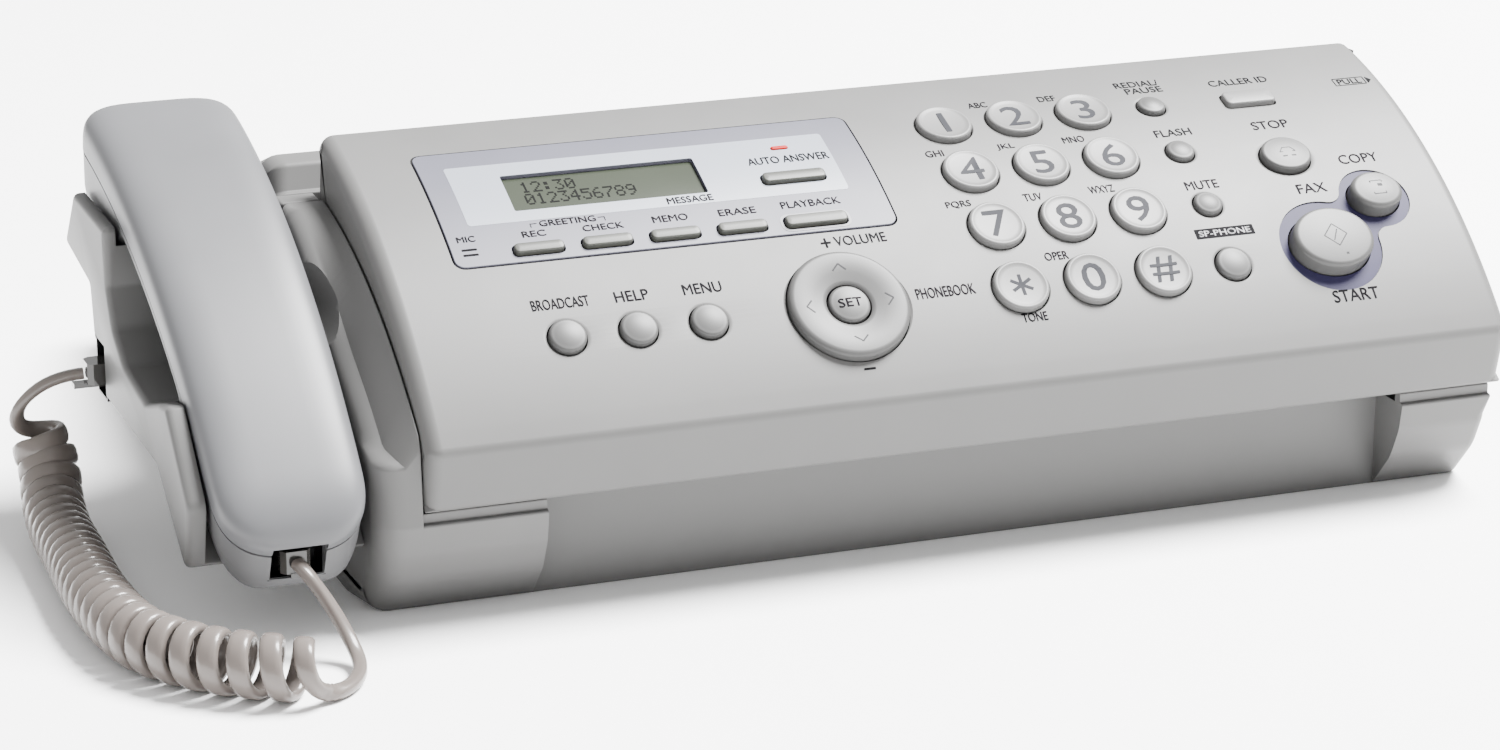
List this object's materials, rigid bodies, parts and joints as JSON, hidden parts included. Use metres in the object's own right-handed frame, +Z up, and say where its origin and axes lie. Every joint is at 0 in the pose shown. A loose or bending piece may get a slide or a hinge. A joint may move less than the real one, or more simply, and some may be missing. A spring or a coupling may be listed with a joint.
{
  "type": "fax machine",
  "caption": "Desktop plain-paper fax machine with corded handset on a side cradle, hinged keypad cover, document slot and hinged rear paper deck.",
  "frame": {"origin": "centre of the machine and cradle, measured without the cord, on the surface it stands on", "axes": "+X towards the user's right and the longest side, +Y towards the back, +Z up"},
  "size_m": [0.3944, 0.3157, 0.1084],
  "materials": {
    "casing": "satin moulded",
    "key_plastic": "satin",
    "bezel": "semi-gloss",
    "lcd": "gloss",
    "circuit_board": "solder mask",
    "sensor": "moulded",
    "black_rubber": "ground",
    "steel": "plated",
    "thermal_film": "wound film",
    "gear_plastic": "moulded",
    "handset": "semi-gloss",
    "capsule": "moulded",
    "cord_plastic": "gloss",
    "clear_plug": "clear"
  },
  "bodies": {
    "cabinet": {"base_cabinet": "casing", "bottom_plate": "steel", "handset_cradle": "casing", "thermal_head": "steel", "image_sensor": "sensor", "drive_motor": "steel", "main_board": "circuit_board", "loudspeaker": "steel", "base_plug": "clear_plug", "cord_base_tail": "cord_plastic", "cord_coil": "cord_plastic", "cord_handset_tail": "cord_plastic"},
    "front_cover_body": {"front_cover": "casing", "display_bezel": "bezel", "lcd_module": "lcd", "panel_board": "circuit_board"},
    "back_cover_body": {"back_cover": "casing"},
    "handset": {"handset_outer_shell": "handset", "handset_inner_shell": "handset", "receiver_capsule": "capsule", "handset_plug": "clear_plug"},
    "hook_plunger": {"hook_switch": "key_plastic"},
    "document_feed_roller_body": {"document_feed_roller": "black_rubber"},
    "platen_roller_body": {"platen_roller": "black_rubber"},
    "film_supply_body": {"film_supply_spool": "thermal_film"},
    "film_takeup_body": {"film_takeup_spool": "thermal_film"},
    "pickup_roller_body": {"pickup_roller": "black_rubber"},
    "motor_pinion_body": {"motor_pinion": "steel"},
    "idler_gear_body": {"idler_gear": "gear_plastic"},
    "key_0_body": {"key_0": "key_plastic"},
    "key_1_body": {"key_1": "key_plastic"},
    "key_2_body": {"key_2": "key_plastic"},
    "key_3_body": {"key_3": "key_plastic"},
    "key_4_body": {"key_4": "key_plastic"},
    "key_5_body": {"key_5": "key_plastic"},
    "key_6_body": {"key_6": "key_plastic"},
    "key_7_body": {"key_7": "key_plastic"},
    "key_8_body": {"key_8": "key_plastic"},
    "key_9_body": {"key_9": "key_plastic"},
    "key_auto_answer_body": {"key_auto_answer": "key_plastic"},
    "key_broadcast_body": {"key_broadcast": "key_plastic"},
    "key_caller_id_body": {"key_caller_id": "key_plastic"},
    "key_check_body": {"key_check": "key_plastic"},
    "key_copy_body": {"key_copy": "key_plastic"},
    "key_erase_body": {"key_erase": "key_plastic"},
    "key_flash_body": {"key_flash": "key_plastic"},
    "key_hash_body": {"key_hash": "key_plastic"},
    "key_help_body": {"key_help": "key_plastic"},
    "key_memo_body": {"key_memo": "key_plastic"},
    "key_menu_body": {"key_menu": "key_plastic"},
    "key_mute_body": {"key_mute": "key_plastic"},
    "key_navigator_body": {"key_navigator": "key_plastic"},
    "key_playback_body": {"key_playback": "key_plastic"},
    "key_record_body": {"key_record": "key_plastic"},
    "key_redial_body": {"key_redial": "key_plastic"},
    "key_set_body": {"key_set": "key_plastic"},
    "key_speakerphone_body": {"key_speakerphone": "key_plastic"},
    "key_star_body": {"key_star": "key_plastic"},
    "key_start_body": {"key_start": "key_plastic"},
    "key_stop_body": {"key_stop": "key_plastic"}
  },
  "joints": [
    {"name": "front_cover_hinge", "type": "hinge", "parent": "cabinet", "child": "front_cover_body", "pos_m": [0, -0.041, 0.1], "axis": [-1, 0, 0], "range_deg": [0, 60]},
    {"name": "back_cover_hinge", "type": "hinge", "parent": "cabinet", "child": "back_cover_body", "pos_m": [0, 0.137, 0.0302], "axis": [-1, 0, 0], "range_deg": [0, 35]},
    {"name": "handset_lift", "type": "slide", "parent": "cabinet", "child": "handset", "axis": [0, -0.3746, 0.9272], "range_m": [0, 0.06]},
    {"name": "hook_switch_travel", "type": "slide", "parent": "cabinet", "child": "hook_plunger", "axis": [0, -0.3746, 0.9272], "range_m": [0, 0.005]},
    {"name": "document_feed_spin", "type": "hinge", "parent": "front_cover_body", "child": "document_feed_roller_body", "pos_m": [0, -0.07, 0.074], "axis": [1, 0, 0], "continuous": true},
    {"name": "platen_spin", "type": "hinge", "parent": "cabinet", "child": "platen_roller_body", "pos_m": [0, -0.078, 0.038], "axis": [1, 0, 0], "continuous": true},
    {"name": "film_supply_spin", "type": "hinge", "parent": "cabinet", "child": "film_supply_body", "pos_m": [0, -0.042, 0.062], "axis": [1, 0, 0], "continuous": true},
    {"name": "film_takeup_spin", "type": "hinge", "parent": "cabinet", "child": "film_takeup_body", "pos_m": [0, -0.1045, 0.043], "axis": [1, 0, 0], "continuous": true},
    {"name": "pickup_spin", "type": "hinge", "parent": "cabinet", "child": "pickup_roller_body", "pos_m": [0, 0, 0.05], "axis": [1, 0, 0], "continuous": true},
    {"name": "motor_pinion_spin", "type": "hinge", "parent": "cabinet", "child": "motor_pinion_body", "pos_m": [0, -0.0267, 0.028], "axis": [1, 0, 0], "continuous": true},
    {"name": "idler_spin", "type": "hinge", "parent": "cabinet", "child": "idler_gear_body", "pos_m": [0, -0.0505, 0.028], "axis": [1, 0, 0], "continuous": true},
    {"name": "key_0_press", "type": "slide", "parent": "front_cover_body", "child": "key_0_body", "axis": [0, 0.6488, -0.761], "range_m": [0, 0.0012], "stiffness_N_per_m": 200},
    {"name": "key_1_press", "type": "slide", "parent": "front_cover_body", "child": "key_1_body", "axis": [0, 0.3478, -0.9376], "range_m": [0, 0.0012], "stiffness_N_per_m": 200},
    {"name": "key_2_press", "type": "slide", "parent": "front_cover_body", "child": "key_2_body", "axis": [0, 0.3478, -0.9376], "range_m": [0, 0.0012], "stiffness_N_per_m": 200},
    {"name": "key_3_press", "type": "slide", "parent": "front_cover_body", "child": "key_3_body", "axis": [0, 0.3478, -0.9376], "range_m": [0, 0.0012], "stiffness_N_per_m": 200},
    {"name": "key_4_press", "type": "slide", "parent": "front_cover_body", "child": "key_4_body", "axis": [0, 0.4548, -0.8906], "range_m": [0, 0.0012], "stiffness_N_per_m": 200},
    {"name": "key_5_press", "type": "slide", "parent": "front_cover_body", "child": "key_5_body", "axis": [0, 0.4548, -0.8906], "range_m": [0, 0.0012], "stiffness_N_per_m": 200},
    {"name": "key_6_press", "type": "slide", "parent": "front_cover_body", "child": "key_6_body", "axis": [0, 0.4548, -0.8906], "range_m": [0, 0.0012], "stiffness_N_per_m": 200},
    {"name": "key_7_press", "type": "slide", "parent": "front_cover_body", "child": "key_7_body", "axis": [0, 0.5556, -0.8315], "range_m": [0, 0.0012], "stiffness_N_per_m": 200},
    {"name": "key_8_press", "type": "slide", "parent": "front_cover_body", "child": "key_8_body", "axis": [0, 0.5556, -0.8315], "range_m": [0, 0.0012], "stiffness_N_per_m": 200},
    {"name": "key_9_press", "type": "slide", "parent": "front_cover_body", "child": "key_9_body", "axis": [0, 0.5556, -0.8315], "range_m": [0, 0.0012], "stiffness_N_per_m": 200},
    {"name": "key_auto_answer_press", "type": "slide", "parent": "front_cover_body", "child": "key_auto_answer_body", "axis": [0, 0.4305, -0.9026], "range_m": [0, 0.0008], "stiffness_N_per_m": 200},
    {"name": "key_broadcast_press", "type": "slide", "parent": "front_cover_body", "child": "key_broadcast_body", "axis": [0, 0.6488, -0.761], "range_m": [0, 0.0012], "stiffness_N_per_m": 200},
    {"name": "key_caller_id_press", "type": "slide", "parent": "front_cover_body", "child": "key_caller_id_body", "axis": [0, 0.3535, -0.9354], "range_m": [0, 0.0009], "stiffness_N_per_m": 200},
    {"name": "key_check_press", "type": "slide", "parent": "front_cover_body", "child": "key_check_body", "axis": [0, 0.515, -0.8572], "range_m": [0, 0.0008], "stiffness_N_per_m": 200},
    {"name": "key_copy_press", "type": "slide", "parent": "front_cover_body", "child": "key_copy_body", "axis": [0, 0.5721, -0.8202], "range_m": [0, 0.0018], "stiffness_N_per_m": 200},
    {"name": "key_erase_press", "type": "slide", "parent": "front_cover_body", "child": "key_erase_body", "axis": [0, 0.515, -0.8572], "range_m": [0, 0.0008], "stiffness_N_per_m": 200},
    {"name": "key_flash_press", "type": "slide", "parent": "front_cover_body", "child": "key_flash_body", "axis": [0, 0.4548, -0.8906], "range_m": [0, 0.0009], "stiffness_N_per_m": 200},
    {"name": "key_hash_press", "type": "slide", "parent": "front_cover_body", "child": "key_hash_body", "axis": [0, 0.6488, -0.761], "range_m": [0, 0.0012], "stiffness_N_per_m": 200},
    {"name": "key_help_press", "type": "slide", "parent": "front_cover_body", "child": "key_help_body", "axis": [0, 0.6488, -0.761], "range_m": [0, 0.0012], "stiffness_N_per_m": 200},
    {"name": "key_memo_press", "type": "slide", "parent": "front_cover_body", "child": "key_memo_body", "axis": [0, 0.515, -0.8572], "range_m": [0, 0.0008], "stiffness_N_per_m": 200},
    {"name": "key_menu_press", "type": "slide", "parent": "front_cover_body", "child": "key_menu_body", "axis": [0, 0.6488, -0.761], "range_m": [0, 0.0012], "stiffness_N_per_m": 200},
    {"name": "key_mute_press", "type": "slide", "parent": "front_cover_body", "child": "key_mute_body", "axis": [0, 0.5556, -0.8315], "range_m": [0, 0.0009], "stiffness_N_per_m": 200},
    {"name": "key_navigator_press", "type": "slide", "parent": "front_cover_body", "child": "key_navigator_body", "axis": [0, 0.6488, -0.761], "range_m": [0, 0.0008], "stiffness_N_per_m": 200},
    {"name": "key_playback_press", "type": "slide", "parent": "front_cover_body", "child": "key_playback_body", "axis": [0, 0.515, -0.8572], "range_m": [0, 0.0008], "stiffness_N_per_m": 200},
    {"name": "key_record_press", "type": "slide", "parent": "front_cover_body", "child": "key_record_body", "axis": [0, 0.515, -0.8572], "range_m": [0, 0.0008], "stiffness_N_per_m": 200},
    {"name": "key_redial_press", "type": "slide", "parent": "front_cover_body", "child": "key_redial_body", "axis": [0, 0.3478, -0.9376], "range_m": [0, 0.0009], "stiffness_N_per_m": 200},
    {"name": "key_set_press", "type": "slide", "parent": "front_cover_body", "child": "key_set_body", "axis": [0, 0.6488, -0.761], "range_m": [0, 0.0012], "stiffness_N_per_m": 200},
    {"name": "key_speakerphone_press", "type": "slide", "parent": "front_cover_body", "child": "key_speakerphone_body", "axis": [0, 0.6488, -0.761], "range_m": [0, 0.0012], "stiffness_N_per_m": 200},
    {"name": "key_star_press", "type": "slide", "parent": "front_cover_body", "child": "key_star_body", "axis": [0, 0.6488, -0.761], "range_m": [0, 0.0012], "stiffness_N_per_m": 200},
    {"name": "key_start_press", "type": "slide", "parent": "front_cover_body", "child": "key_start_body", "axis": [0, 0.6361, -0.7716], "range_m": [0, 0.0018], "stiffness_N_per_m": 200},
    {"name": "key_stop_press", "type": "slide", "parent": "front_cover_body", "child": "key_stop_body", "axis": [0, 0.4848, -0.8746], "range_m": [0, 0.0014], "stiffness_N_per_m": 200}
  ],
  "couplings": [
    {"joint": "hook_switch_travel", "follows": "handset_lift", "ratio": 0.083333},
    {"joint": "platen_spin", "follows": "film_supply_spin", "ratio": 1.875},
    {"joint": "film_takeup_spin", "follows": "film_supply_spin", "ratio": 1.5789},
    {"joint": "idler_spin", "follows": "film_supply_spin", "ratio": -0.98684},
    {"joint": "motor_pinion_spin", "follows": "film_supply_spin", "ratio": 4.1667}
  ]
}
